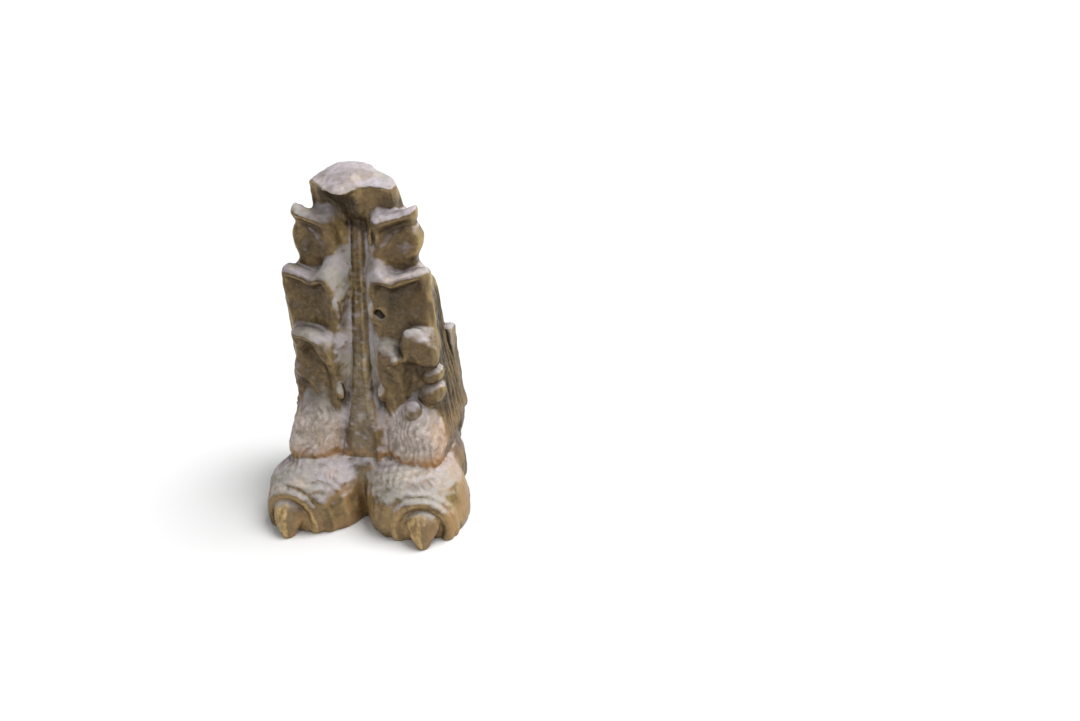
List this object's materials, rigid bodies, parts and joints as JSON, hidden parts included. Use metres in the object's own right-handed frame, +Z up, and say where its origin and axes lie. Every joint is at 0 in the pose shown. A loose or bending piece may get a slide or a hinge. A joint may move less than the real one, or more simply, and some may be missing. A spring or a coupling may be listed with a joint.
{
  "type": "claw foot",
  "caption": "Cast bronze furniture claw foot with clawed toes, fur tufts, tiered acanthus leaves beside a keel and a waved cap.",
  "frame": {"origin": "on the flat sole, in the foot's middle plane, under the cap", "axes": "+Z up, the claws point along -Y, the flat back faces +Y, and +X runs across the foot"},
  "size_m": [0.116, 0.0887, 0.1866],
  "materials": {
    "bronze": "aged cast bronze, dark brown in the hollows, golden on the edges, with a dusty grey bloom on the upper faces"
  },
  "bodies": {
    "root": {"claw_foot": "bronze"}
  },
  "joints": []
}
